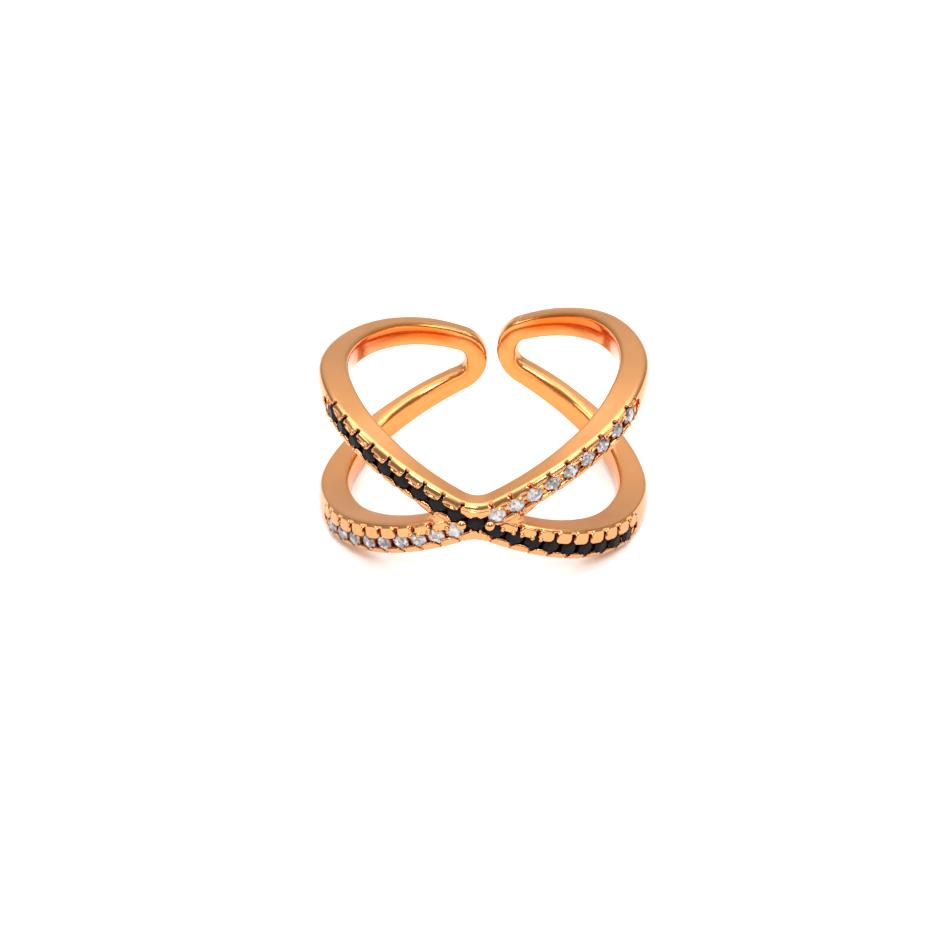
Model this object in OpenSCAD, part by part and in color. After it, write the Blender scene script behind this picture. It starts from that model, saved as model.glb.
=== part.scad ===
// Open crossover ring.
// One cast band lies in a figure of eight round the finger. Its two arms cross at the
// front, and behind the finger each side turns back in a rounded end, with a gap between.
// A row of small cut stones runs along each arm, held by beads between side cuts.
// Z is the finger's axis, the crossing faces -Y, and the origin is the finger hole's middle.

/* [Ring] */
// Inner diameter across the finger hole
inner_d = 17; // [16:0.1:18.5]
// Height of each arm above or below the middle, at the sides
rise = 4.65; // [4.3:0.05:5]
// Gap between the two rounded ends at the back
end_gap = 0.95; // [0.4:0.05:1.5]
// Radius of the rounded end's centre line
turn_r = 1.78; // [1.6:0.02:1.9]
// How far the right end stands above the middle, and the left end below it
end_lift = 0.42; // [0:0.02:0.5]
// How much higher the right loop is than the left one, on each side of its middle
loop_growth = 0.22; // [0:0.02:0.3]
// How far the crossing lies below the middle
front_drop = 0.1; // [0:0.02:0.2]

/* [Band] */
// Width of an arm at the crossing
front_w = 2; // [1.7:0.05:2.1]
// Wall at the crossing
front_wall = 1.5; // [1.4:0.05:1.8]
// Wall at the sides, where the band is thickest
side_wall = 2.05; // [1.7:0.05:2.2]
// Width of the band in the rounded ends
end_w = 1.25; // [1:0.05:1.4]
// Wall in the rounded ends
end_wall = 1.2; // [1:0.05:1.5]
// Bevel along every edge
bevel = 0.18; // [0.05:0.01:0.2]
// How far the middle of the outer face stands above its edges
crown = 0.15; // [0:0.05:0.2]
// Radius in the notch above and below the crossing
notch_r = 0.75; // [0.3:0.05:1.2]

/* [Stones] */
// Stones on each side of the crossing, in each row
row_stones = 9; // [6:1:9]
// Diameter of a stone
stone_d = 1.15; // [1:0.01:1.2]
// Distance from stone to stone along the outer face
pitch = 1.375; // [1.35:0.005:1.4]
// Distance from the crossing's stone to the first stone of the other arm
first_pitch = 1.5; // [1.45:0.01:1.6]
// How far the rows on the lower strands lie outwards of the arm's middle, at the sides
row_shift = 0.3; // [0:0.05:0.3]
// Distance from the crossing over which the rows move outwards
shift_run = 8; // [4:0.5:10]
// Height of a stone's table above the outer face
table_height = 0.02; // [-0.05:0.01:0.05]

/* [Cuts and beads] */
// Width of a side cut on the outer face
slot_w = 0.17; // [0.12:0.01:0.2]
// Diameter of the round foot of a side cut
slot_foot_d = 0.32; // [0.2:0.02:0.36]
// Depth of that foot's middle below the outer face
slot_depth = 0.46; // [0.35:0.01:0.5]
// Diameter of a bead
bead_d = 0.34; // [0.3:0.01:0.36]
// Diameter of the two beads beside the crossing's stone
cross_bead_d = 0.52; // [0.4:0.02:0.54]

/* [Hidden] */
inner_r = inner_d / 2;
// The radius on which the band is laid out flat
ref_r = inner_r + 0.8;
mm_per_deg = ref_r * PI / 180;

// The band's width and wall against the angle from the crossing
band_widths = [
    // angle, width
    [0, front_w],
    [45, front_w + 0.15],
    [90, front_w - 0.1],
    [135, end_w + 0.6],
    [180, end_w]
];
band_walls = [
    // angle, wall
    [0, front_wall],
    [25, front_wall],
    [60, side_wall - 0.2],
    [90, side_wall],
    [112, (side_wall + end_wall) / 2],
    [140, end_wall],
    [180, end_wall]
];

// Where the straight run of the arm ends and the rounded end begins
turn_lean = 24.5;
turn_s = PI * ref_r - end_gap / 2 - end_w / 2 - turn_r;
quarter_s = 90 * mm_per_deg;
join_s = turn_s + turn_r * sin(turn_lean);
join_h = turn_r * cos(turn_lean);
run_s = join_s - quarter_s;
// Angles between which the lift and the growth of the right loop come in
lift_from = 45;
lift_to = 135;

arm_lean = atan(rise / ref_r);
// How much the notch's rounding adds at its lowest point
notch_fill = notch_r * pow(tan(arm_lean), 2);
// The window's narrow corner beside the crossing
corner_r = 0.25;

// How far the cutters reach past the faces that they cut, and how far two that follow on overlap
over = 0.2;
lap = 0.02;
// The girdle's height and the crown and pavilion of a stone
girdle_h = 0.03;
stone_crown_h = 0.17;
pavilion_h = 0.47;
table_d = stone_d * 0.56;
seat_gap = 0.035;
seat_r = stone_d / 2 + seat_gap;
// Height of the girdle's upper edge above the outer face
girdle_z = table_height - stone_crown_h;
// How far a bead's middle lies outside the girdle
bead_out = 0.085;

metal = [0.87, 0.63, 0.45];
black = [0.1, 0.09, 0.09];
clear = [0.9, 0.88, 0.88];

function two_digits(n) = n < 10 ? str("0", n) : str(n);
function black_name(n) = str("black_stone_", two_digits(n));
function clear_name(n) = str("clear_stone_", two_digits(n));

// Angle from the crossing, in degrees, of a distance along the flat layout
function angle_of(s) = s / mm_per_deg;

// Rises smoothly from 0 to 1 while t goes from 0 to 1
function ease(t) = let (u = min(1, max(0, t))) u * u * (3 - 2 * u);

// Height of the arm's centre line at s, as a tilted circle to the side and a smooth run to the end
function arm_h(s) =
    s < quarter_s
        ? rise * sin(angle_of(s))
        : let (t = (s - quarter_s) / run_s)
            rise * (2 * pow(t, 3) - 3 * pow(t, 2) + 1)
            + join_h * (3 * pow(t, 2) - 2 * pow(t, 3))
            - run_s * tan(turn_lean) * (pow(t, 3) - pow(t, 2));

// The centre line's lean at s, in degrees
function arm_slope(s) = let (d = 0.01) atan((arm_h(s + d) - arm_h(s - d)) / (2 * d));

// A station is the place and lean of the centre line: [s, height, lean]
S = 0;
H = 1;
LEAN = 2;
function run_station(s) = [s, arm_h(s), arm_slope(s)];
function turn_station(lean) = [turn_s + turn_r * sin(lean), turn_r * cos(lean), -lean];
// The two ridges keep this height apart from the middle where the arms cross
least_ridge_h = 0.15;
// The last lean is just short of upright, so that the two sides of the end meet in a thin strip
turn_leans = [for (k = [0 : 11]) turn_lean + (89 - turn_lean) * k / 11];
turn_stations = [for (lean = turn_leans) turn_station(lean)];

function width_at(s) = lookup(angle_of(s), band_widths);
function wall_at(s) = lookup(angle_of(s), band_walls);
function outer_r(s) = inner_r + wall_at(s);

// A point beside the centre line, off along its upward normal
function beside(station, off) = [
    station[S] - sin(station[LEAN]) * off,
    station[H] + cos(station[LEAN]) * off
];

// Place in space of a point of the flat layout, on the side +1 or -1, at radius r
function place(side, s, h, r) =
    let (
        a = side * angle_of(s),
        come_in = ease((angle_of(s) - lift_from) / (lift_to - lift_from)),
        drop = front_drop * (1 - ease(angle_of(s) / 90)),
        z = side * end_lift * come_in + h * (1 + side * loop_growth / rise * come_in) - drop
    )
    [r * sin(a), -r * cos(a), z];

// The four layers through the wall: how far the edge is drawn in, and the radius
function layers(s, reach) = [
    [bevel + reach, inner_r - reach],
    [0, inner_r + bevel],
    [0, outer_r(s) - crown - bevel],
    [bevel + reach, outer_r(s) - crown + reach]
];
INSET = 0;
RADIUS = 1;

// Outer edge of the band, with the notch over the crossing rounded
function outer_edge(station, off) =
    let (
        p = beside(station, off),
        t = tan(arm_lean) * p[S]
    )
    [p[S], p[H] + sqrt(t * t + notch_fill * notch_fill) - t];

// Ring of points round the band's section at a station: upper edge, outer face, lower edge
function blank_ring(side, station, at_crossing) =
    let (
        s = station[S],
        lay = layers(s, 0),
        half = width_at(s) / 2,
        edge = [for (k = [0 : 3])
            let (
                off = half - lay[k][INSET],
                p = at_crossing
                    ? [0, off / cos(arm_lean) + notch_fill]
                    : outer_edge(station, off)
            )
            [p[S], p[H], k == 0 ? inner_r - over : lay[k][RADIUS]]],
        ridge = [s, max(station[H], least_ridge_h), outer_r(s)],
        valley = [beside(station, -half)[S], 0, outer_r(s) - crown * station[H] / half]
    )
    [
        place(side, edge[0][0], edge[0][1], edge[0][2]),
        place(side, edge[1][0], edge[1][1], edge[1][2]),
        place(side, edge[2][0], edge[2][1], edge[2][2]),
        place(side, edge[3][0], edge[3][1], edge[3][2]),
        place(side, ridge[0], ridge[1], ridge[2]),
        place(side, max(0, valley[0]), 0, valley[2]),
        place(side, ridge[0], -ridge[1], ridge[2]),
        place(side, edge[3][0], -edge[3][1], edge[3][2]),
        place(side, edge[2][0], -edge[2][1], edge[2][2]),
        place(side, edge[1][0], -edge[1][1], edge[1][2]),
        place(side, edge[0][0], -edge[0][1], edge[0][2])
    ];

// Closed skin over a list of rings with the same number of points each
module skin(rings) {
    n = len(rings[0]);
    last = len(rings) - 1;
    sides = [for (k = [0 : last - 1], j = [0 : n - 1])
        let (
            a = k * n + j,
            b = k * n + (j + 1) % n,
            c = (k + 1) * n + (j + 1) % n,
            d = (k + 1) * n + j
        )
        each [[a, c, b], [a, d, c]]];
    // A cap is a row of strips between the upper and the lower half of the ring
    half = ceil(n / 2);
    strip = [for (j = [0 : half - 2])
        let (a = j, b = j + 1, c = n - 2 - j, d = n - 1 - j)
        each (b == c ? [[a, b, d]] : [[a, b, c], [a, c, d]])];
    caps = concat(
        strip,
        [for (t = strip) [for (v = [2, 1, 0]) t[v] + last * n]]
    );
    polyhedron(points = [for (r = rings) each r], faces = concat(sides, caps));
}

// Stations of the run, close enough together for a smooth face
step_s = 0.5;
run_stations = [for (s = [0.8 : step_s : join_s - step_s / 2]) run_station(s)];
side_stations = concat(run_stations, turn_stations);

// The whole outline of the band, still without its windows
module blank() {
    left = [for (k = [len(side_stations) - 1 : -1 : 0]) blank_ring(-1, side_stations[k], false)];
    middle = [blank_ring(1, [0, 0, arm_lean], true)];
    right = [for (k = [0 : len(side_stations) - 1]) blank_ring(1, side_stations[k], false)];
    skin(concat(left, middle, right));
}

// Middle of the window's rounded corner beside the crossing, and where its straight edges begin
corner_half_w = front_w / 2;
corner_s = (corner_half_w + corner_r) / sin(arm_lean);
window_from = corner_s - (corner_r + corner_half_w) * sin(arm_lean);

// Ring of points round the window at a place on its edge, with flared mouths for the bevels
function window_ring(side, s, points) =
    let (lay = layers(s, over))
    concat(
        [for (k = [0 : 3]) place(side, points[k][S], points[k][H], lay[k][RADIUS])],
        [for (k = [3 : -1 : 0]) place(side, points[k][S], -points[k][H], lay[k][RADIUS])]
    );
function window_corner(side, a) =
    window_ring(side, corner_s, [for (k = [0 : 3])
        let (r = corner_r + layers(corner_s, over)[k][INSET])
        [corner_s - r * cos(a), r * sin(a)]]);
function window_run(side, station) =
    window_ring(side, station[S], [for (k = [0 : 3])
        beside(station, layers(station[S], over)[k][INSET] - width_at(station[S]) / 2)]);

// Opening between the upper and the lower strand of one side
module window(side) {
    corner_angles = [for (k = [0 : 4]) 2 + (86 - arm_lean) * k / 4];
    stations = concat(
        [for (s = [window_from + 0.25 : step_s : join_s - step_s / 2]) run_station(s)],
        turn_stations
    );
    rings = concat(
        [for (a = corner_angles) window_corner(side, a)],
        [for (st = stations) window_run(side, st)]
    );
    skin(side > 0 ? rings : [for (k = [len(rings) - 1 : -1 : 0]) rings[k]]);
}

// Place along the arm of stone number k from the crossing, stepped off along the outer face
function next_s(s, along) =
    let (
        c = cos(arm_slope(s)),
        stretch = outer_r(s) / ref_r
    )
    s + along / sqrt(stretch * stretch + (1 - c * c) / (c * c));
function row_s(k, first) = k == 0 ? 0 : k == 1 ? next_s(0, first) : next_s(row_s(k - 1, first), pitch);
function shift_at(s, share) = row_shift * share * ease(s / shift_run);

// Puts its children on the arm: X along the strand, Y to its upper edge, Z straight out
// side is +1 on the right and -1 on the left, and up is +1 on the upper strand and -1 on the lower
module on_arm(side, up, s, shift) {
    station = run_station(s);
    p = beside(station, shift);
    at = place(side, p[S], up * p[H], 0);
    rotate([0, 0, side * angle_of(p[S])])
        translate([0, 0, at[2]])
            rotate([90, 0, 0])
                rotate([0, 0, side * up * station[LEAN]])
                    translate([0, 0, outer_r(s)])
                        children();
}

// The four strands that the rows run along, with their first pitch and their share of the row's shift
strands = [
    // side, up, first pitch, share
    [-1, 1, pitch, 0.2],
    [1, -1, pitch, 1],
    [-1, -1, first_pitch, 1],
    [1, 1, first_pitch, 0.7]
];
BLACK_LEFT = strands[0];
BLACK_RIGHT = strands[1];
CLEAR_LEFT = strands[2];
CLEAR_RIGHT = strands[3];
SIDE = 0;
UP = 1;
FIRST = 2;
SHARE = 3;

// Puts its children where stone k of a strand lies, or a part of the pitch past it
module on_row(st, k, past = 0) {
    s = row_s(k, st[FIRST]) + past;
    on_arm(st[SIDE], st[UP], s, shift_at(s, st[SHARE])) children();
}

// The seat drilled for one stone, with the cone that its lower half lies in
module seat() {
    floor_z = girdle_z - girdle_h - seat_gap;
    translate([0, 0, floor_z - lap])
        cylinder(r = seat_r, h = 1, $fn = 48);
    translate([0, 0, floor_z - pavilion_h])
        cylinder(r1 = 0.12, r2 = seat_r, h = pavilion_h, $fn = 48);
}

// The room that a stone's girdle and crown keep free of the beads
module stone_room() {
    girdle_top = girdle_z + seat_gap / 2;
    table_top = table_height + seat_gap;
    translate([0, 0, girdle_top - 1])
        cylinder(r = seat_r, h = 1, $fn = 48);
    translate([0, 0, girdle_top - lap])
        cylinder(r1 = seat_r, r2 = table_d / 2 + seat_gap, h = table_top - girdle_top + lap, $fn = 48);
}

// A side cut from the seat out over the edge: dir is +1 towards the upper edge, -1 to the lower
module side_cut(dir) {
    reach = 1.2;
    translate([-slot_w / 2, dir > 0 ? 0 : -reach, -slot_depth])
        cube([slot_w, reach, 1]);
    translate([0, 0, -slot_depth])
        rotate([dir > 0 ? -90 : 90, 0, 0])
            cylinder(d = slot_foot_d, h = reach, $fn = 24);
}

// The cut that ends a row, past its last stone
module end_cut() {
    translate([0, 0, -slot_depth])
        cylinder(r = seat_r * 0.55, h = 1, $fn = 32);
}

// Beads stand on the diagonals of a seat, a little above the sloping outer face
bead_at = (stone_d / 2 + bead_out) * cos(45);
bead_rise = 0.02;
// The crossing's two beads stand on the metal left between three seats
cross_bead_angle = 4.4;
cross_bead_rise = 0.1;
// One bead beside a seat: along and across are its sides, and off its distance from the arm's middle
module bead(along, across, off) {
    difference() {
        translate([along * bead_at, across * bead_at, bead_rise - crown * off / (front_w / 2)])
            sphere(d = bead_d, $fn = 24);
        stone_room();
    }
}

module row_cuts() {
    on_arm(1, 1, 0, 0) seat();
    for (st = strands) {
        for (k = [1 : row_stones]) {
            on_row(st, k) {
                seat();
                side_cut(st[UP]);
                if (k > 1) side_cut(-st[UP]);
            }
        }
        on_row(st, row_stones, pitch * 0.72) {
            end_cut();
            side_cut(st[UP]);
            side_cut(-st[UP]);
        }
    }
}

module row_beads() {
    on_arm(1, 1, 0, 0)
        rotate([0, 0, -arm_lean])
            for (along = [-1, 1], across = [-1, 1]) bead(along, across, bead_at);
    for (side = [-1, 1]) {
        rotate([0, 0, side * cross_bead_angle])
            translate([0, -outer_r(0) - cross_bead_rise, -front_drop])
                sphere(d = cross_bead_d, $fn = 32);
    }
    for (st = strands) {
        for (k = [1 : row_stones]) {
            shift = shift_at(row_s(k, st[FIRST]), st[SHARE]);
            on_row(st, k) {
                for (along = [-1, 1]) {
                    bead(along, st[UP], bead_at + shift);
                    if (k > 1 || along == st[SIDE]) bead(along, -st[UP], bead_at - shift);
                }
            }
        }
    }
}

module band() {
    color(metal)
        union() {
            difference() {
                blank();
                window(-1);
                window(1);
                cylinder(r = inner_r, h = 4 * rise, center = true, $fn = 180);
                row_cuts();
            }
            row_beads();
        }
}

// A small brilliant: table, crown with stars, kites and upper girdle facets, girdle, pavilion
module brilliant() {
    eighth = 45;
    function at(r, a, z) = [r * cos(a), r * sin(a), z];
    girdle_r = stone_d / 2;
    table_z = stone_crown_h;
    kite_r = girdle_r * 0.8;
    kite_z = stone_crown_h * 0.5;
    points = concat(
        [for (k = [0 : 7]) at(table_d / 2, k * eighth, table_z)],
        [for (k = [0 : 7]) at(kite_r, (k + 0.5) * eighth, kite_z)],
        [for (k = [0 : 15]) at(girdle_r, k * eighth / 2, 0)],
        [for (k = [0 : 15]) at(girdle_r, k * eighth / 2, -girdle_h)],
        [at(0, 0, -girdle_h - pavilion_h + 2 * seat_gap)]
    );
    kite = 8;
    top = 16;
    low = 32;
    culet = 48;
    faces = concat(
        [[for (k = [7 : -1 : 0]) k]],
        [for (k = [0 : 7])
            let (
                next = (k + 1) % 8,
                g = top + 2 * k,
                g_mid = g + 1,
                g_next = top + (2 * k + 2) % 16
            )
            each [
                [k, next, kite + k],
                [k, kite + k, g],
                [next, g_next, kite + k],
                [kite + k, g_mid, g],
                [kite + k, g_next, g_mid]
            ]],
        [for (k = [0 : 15])
            let (next = (k + 1) % 16)
            each [
                [top + k, top + next, low + next],
                [top + k, low + next, low + k],
                [low + k, low + next, culet]
            ]]
    );
    translate([0, 0, girdle_z])
        polyhedron(points = points, faces = faces);
}

// Stone n of the black row, counted from the upper left to the lower right
module black_stone(n) {
    k = n - row_stones - 1;
    color(black)
        if (k == 0) on_arm(1, 1, 0, 0) brilliant();
        else if (k < 0) on_row(BLACK_LEFT, -k) brilliant();
        else on_row(BLACK_RIGHT, k) brilliant();
}

// Stone n of the clear row, counted from the lower left to the upper right
module clear_stone(n) {
    color(clear)
        if (n <= row_stones) on_row(CLEAR_LEFT, row_stones + 1 - n) brilliant();
        else on_row(CLEAR_RIGHT, n - row_stones) brilliant();
}

band();
for (n = [1 : 2 * row_stones + 1]) {
    black_stone(n);
}
for (n = [1 : 2 * row_stones]) {
    clear_stone(n);
}
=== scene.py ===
"""Looks of the open crossover ring: its cast band, the two rows of stones, the studio and the camera."""

import logging
import math
from dataclasses import dataclass, field
from enum import Enum
from functools import reduce

import bpy
import numpy as np
from mathutils import Matrix, Vector


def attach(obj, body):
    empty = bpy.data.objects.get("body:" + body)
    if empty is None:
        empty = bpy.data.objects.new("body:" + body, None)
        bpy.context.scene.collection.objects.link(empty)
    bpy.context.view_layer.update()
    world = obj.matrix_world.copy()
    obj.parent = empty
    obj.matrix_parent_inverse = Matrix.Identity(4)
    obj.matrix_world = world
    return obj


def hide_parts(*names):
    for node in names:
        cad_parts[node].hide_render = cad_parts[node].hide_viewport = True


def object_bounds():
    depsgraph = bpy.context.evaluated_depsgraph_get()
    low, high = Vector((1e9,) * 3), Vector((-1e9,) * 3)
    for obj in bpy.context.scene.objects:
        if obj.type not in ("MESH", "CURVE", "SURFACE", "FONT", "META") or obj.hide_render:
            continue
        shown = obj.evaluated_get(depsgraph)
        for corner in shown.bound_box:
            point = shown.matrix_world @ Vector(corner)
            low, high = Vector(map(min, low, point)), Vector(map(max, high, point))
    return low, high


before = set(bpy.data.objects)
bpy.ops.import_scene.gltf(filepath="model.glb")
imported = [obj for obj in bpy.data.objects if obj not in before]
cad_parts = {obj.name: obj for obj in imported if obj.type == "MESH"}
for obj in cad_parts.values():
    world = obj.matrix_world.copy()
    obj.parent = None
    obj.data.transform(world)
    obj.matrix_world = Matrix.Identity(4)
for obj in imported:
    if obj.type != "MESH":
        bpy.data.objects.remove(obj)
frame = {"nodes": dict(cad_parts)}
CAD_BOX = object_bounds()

log = logging.getLogger("ring")

MM = 0.001
TINY = 1e-9
Array = np.ndarray
Object = bpy.types.Object
Mesh = bpy.types.Mesh
Material = bpy.types.Material
Node = bpy.types.Node
NodeTree = bpy.types.NodeTree
Socket = bpy.types.NodeSocket


class Side(Enum):
    """The two halves of the ring, as seen from the crossing."""

    LEFT = -1
    RIGHT = 1


class Strand(Enum):
    """The two strands of a half."""

    UPPER = 1
    LOWER = -1


class Zone(Enum):
    """What the band's mesh tells its material at each point."""

    # cavity and dark_row carry painted light into the cuts and troughs: orange inter-reflection along the clear rows,
    # near black shade along the black rows
    CAVITY = "cavity"
    FLANK = "flank"
    DARK_ROW = "dark_row"
    INSIDE = "inside"
    # painted reflection: a deep orange strip that stands in for the inner wall's reflection of the ring's own gold
    GLOW = "glow"


SHIFT_SHARES = {
    (Side.LEFT, Strand.UPPER): 0.2,
    (Side.RIGHT, Strand.LOWER): 1.0,
    (Side.LEFT, Strand.LOWER): 1.0,
    (Side.RIGHT, Strand.UPPER): 0.7,
}


def ease(t: Array | float) -> Array:
    """Rises smoothly from 0 to 1 while t goes from 0 to 1."""
    u = np.clip(t, 0.0, 1.0)
    return u * u * (3 - 2 * u)


def distance(x: Array, y: Array, z: Array) -> Array:
    """Length of the vector with these three parts."""
    return np.sqrt(x * x + y * y + z * z)


def past_core(x: Array, half: float, bend: float) -> Array:
    """How far x lies past the straight part of a span with rounded ends."""
    return np.maximum(np.abs(x) - half + bend, 0.0)


def rounded(x: Array, half_x: float, y: Array, half_y: float, bend: float) -> Array:
    """Field of a rectangle with rounded corners, negative inside it."""
    return np.hypot(past_core(x, half_x, bend), past_core(y, half_y, bend)) - bend


def join_soft(a: Array, b: Array, blend: Array | float) -> Array:
    """Joins two distance fields with a fillet that spreads over the blend's width."""
    near = np.maximum(blend - np.abs(a - b), 0.0) / blend
    return np.minimum(a, b) - near * near * blend / 4


def cut_soft(a: Array, cutter: Array, blend: float) -> Array:
    """Takes a cutter away from a field and rounds the rim over the blend's width."""
    return -join_soft(-a, cutter, blend)


def meet_round(a: Array, b: Array, radius: Array | float) -> Array:
    """Keeps what two fields have in common and rounds the edge between them."""
    corner = np.hypot(np.maximum(a + radius, 0.0), np.maximum(b + radius, 0.0))
    return np.minimum(np.maximum(a, b), -radius) + corner


@dataclass(frozen=True)
class Ramp:
    """A smooth step from 0 at start to 1 at its run's other end, which lies before start if run is negative."""

    start: float
    run: float

    def at(self, x: Array) -> Array:
        """Share reached at x."""
        return ease((x - self.start) / self.run)


@dataclass(frozen=True)
class RingPlan:
    """The ring laid out flat, in millimetres and degrees.

    s runs along the finger's round from the crossing, h is the height and r the radius.
    """

    inner_r: float = 8.5
    ref_lift: float = 0.8
    rise: float = 4.65
    end_gap: float = 0.95
    turn_r: float = 1.78
    turn_lean: float = 24.5
    end_w: float = 1.25
    end_lift: float = 0.42
    loop_growth: float = 0.22
    front_drop: float = 0.1
    drop_out: Ramp = Ramp(0.0, 90.0)
    lift_in: Ramp = Ramp(45.0, 90.0)
    crown: float = 0.15
    widths: tuple = ((0, 2.0), (45, 2.15), (90, 1.9), (135, 1.85), (180, 1.25))
    walls: tuple = ((0, 1.5), (25, 1.5), (60, 1.85), (90, 2.05), (112, 1.625), (140, 1.2), (180, 1.2))
    wall_turns: tuple = (-6.0, -4.0, -2.0, 0.0, 2.0, 4.0, 6.0)
    join_run: float = 0.7
    foot_rounds: int = 5
    foot_from: float = -3.0
    slope_step: float = 0.01
    row_stones: int = 9
    stone_d: float = 1.15
    pitch: float = 1.375
    first_pitch: float = 1.5
    row_shift: float = 0.3
    shift_run: float = 8.0
    end_cut_step: float = 0.72

    @property
    def ref_r(self) -> float:
        """Radius on which the plan is laid out flat."""
        return self.inner_r + self.ref_lift

    @property
    def turn_s(self) -> float:
        """Middle of the rounded end, along the plan."""
        return math.pi * self.ref_r - self.end_gap / 2 - self.end_w / 2 - self.turn_r

    @property
    def quarter_s(self) -> float:
        """Distance along the plan at which the arm stands highest."""
        return math.pi / 2 * self.ref_r

    @property
    def join(self) -> tuple[float, float]:
        """Point at which the straight run meets the rounded end."""
        lean = math.radians(self.turn_lean)
        return self.turn_s + self.turn_r * math.sin(lean), self.turn_r * math.cos(lean)

    def degrees(self, s: Array | float) -> Array | float:
        """Angle from the crossing of a distance along the plan."""
        return s / self.ref_r * (180 / math.pi)

    def arm_h(self, s: Array) -> Array:
        """Height of the arm's centre line.

        Args:
            s: Distance along the plan.

        Returns:
            The height, on a tilted circle to the side and a smooth run to the end.
        """
        join_s, join_h = self.join
        run = join_s - self.quarter_s
        t = np.clip((s - self.quarter_s) / run, 0.0, 1.0)
        smooth = (
            self.rise * (2 * t**3 - 3 * t**2 + 1)
            + join_h * (3 * t**2 - 2 * t**3)
            - run * math.tan(math.radians(self.turn_lean)) * (t**3 - t**2)
        )
        return np.where(s < self.quarter_s, self.rise * np.sin(s / self.ref_r), smooth)

    def arm_slope(self, s: Array) -> Array:
        """Rise of the centre line per millimetre of s."""
        step = self.slope_step
        return (self.arm_h(s + step) - self.arm_h(s - step)) / (2 * step)

    def width(self, s: Array) -> Array:
        """Width of the band at s."""
        return np.interp(self.degrees(s), *zip(*self.widths))

    def outer_r(self, s: Array) -> Array:
        """Radius of the outer face's middle at s, with the wall's bends rounded."""
        walls = [np.interp(self.degrees(s) + turn, *zip(*self.walls)) for turn in self.wall_turns]
        return self.inner_r + sum(walls) / len(walls)

    def height(self, s: Array, h: Array | float) -> Array:
        """Height in space of a point of the plan.

        Args:
            s: Distance along the plan, negative on the left.
            h: Height in the plan.

        Returns:
            The height with the right end's lift and the right loop's growth.
        """
        angle = self.degrees(np.abs(s))
        come_in = self.lift_in.at(angle)
        side = np.sign(s)
        drop = self.front_drop * (1 - self.drop_out.at(angle))
        return side * self.end_lift * come_in + h * (1 + side * self.loop_growth / self.rise * come_in) - drop

    def place(self, s: Array, h: Array, r: Array) -> Array:
        """Points in space, in millimetres, of points of the plan."""
        angle = s / self.ref_r
        return np.stack([r * np.sin(angle), -r * np.cos(angle), self.height(s, h)], axis=-1)

    def unplace(self, xyz: Array) -> Array:
        """Turns points in space back into points of the plan.

        Args:
            xyz: The points, in millimetres, one row each.

        Returns:
            Their s, h and r, one row each.
        """
        s = np.arctan2(xyz[:, 0], -xyz[:, 1]) * self.ref_r
        level = self.height(s, 0.0)
        h = (xyz[:, 2] - level) / (self.height(s, 1.0) - level)
        return np.stack([s, h, np.hypot(xyz[:, 0], xyz[:, 1])], axis=1)

    def run_foot(self, s: Array, h: Array) -> Array:
        """Foot of a point on the arm's run before its rounded end.

        Args:
            s: Distance along the plan, zero or more.
            h: Height in the plan.

        Returns:
            The foot's s.
        """
        foot = s.copy()
        for _ in range(self.foot_rounds):
            slope = self.arm_slope(foot)
            foot = foot - ((foot - s) + (self.arm_h(foot) - h) * slope) / (1 + slope**2)
            foot = np.clip(foot, self.foot_from, self.join[0])
        return foot

    def nearest(self, s: Array, h: Array) -> tuple[Array, Array, Array]:
        """Foot of a point on the arm that rises to the right, eased where the run meets the rounded end.

        Args:
            s: Distance along the plan, zero or more.
            h: Height in the plan.

        Returns:
            The distance to the centre line, the signed offset from it and the foot's s.
        """
        foot = self.run_foot(s, h)
        rise = h - self.arm_h(foot)
        on_run = np.sign(rise) * np.hypot(s - foot, rise)
        lean = math.radians(self.turn_lean)
        join_s, join_h = self.join
        past = (s - join_s) * math.cos(lean) - (h - join_h) * math.sin(lean)
        on_line = (s - join_s) * math.sin(lean) + (h - join_h) * math.cos(lean)
        angle = np.clip(np.arctan2(h, s - self.turn_s), 0.0, math.pi / 2 - lean)
        turn_foot = self.turn_s + self.turn_r * np.cos(angle)
        middle_gap = np.hypot(s - self.turn_s, h) + TINY
        from_middle = middle_gap - self.turn_r
        on_turn = np.sign(from_middle) * np.hypot(s - turn_foot, h - self.turn_r * np.sin(angle))
        is_past = past > 0
        is_near = (h > 0) & (np.abs(past) < self.join_run)
        share = ease(0.5 + past / (2 * self.join_run))
        straight = np.where(is_past, on_line, on_run)
        eased = straight + (from_middle - straight) * share
        ahead = np.where(is_past, join_s + past * math.cos(lean), foot)
        round_foot = self.turn_s + self.turn_r * (s - self.turn_s) / middle_gap
        near_foot = ahead + (round_foot - ahead) * share
        offset = np.where(is_near, eased, np.where(is_past, on_turn, on_run))
        return np.abs(offset), offset, np.where(is_near, near_foot, np.where(is_past, turn_foot, foot))

    def next_s(self, s: float, along: float) -> float:
        """Steps a distance along the outer face from s."""
        stretch = float(self.outer_r(s)) / self.ref_r
        return s + along / math.hypot(stretch, float(self.arm_slope(np.array(s))))

    def row_s(self, number: int, first: float) -> float:
        """Place of a stone, counted from the crossing, after a first step of its own."""
        steps = [first] + [self.pitch] * (number - 1) if number else []
        return reduce(self.next_s, steps, 0.0)


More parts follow.
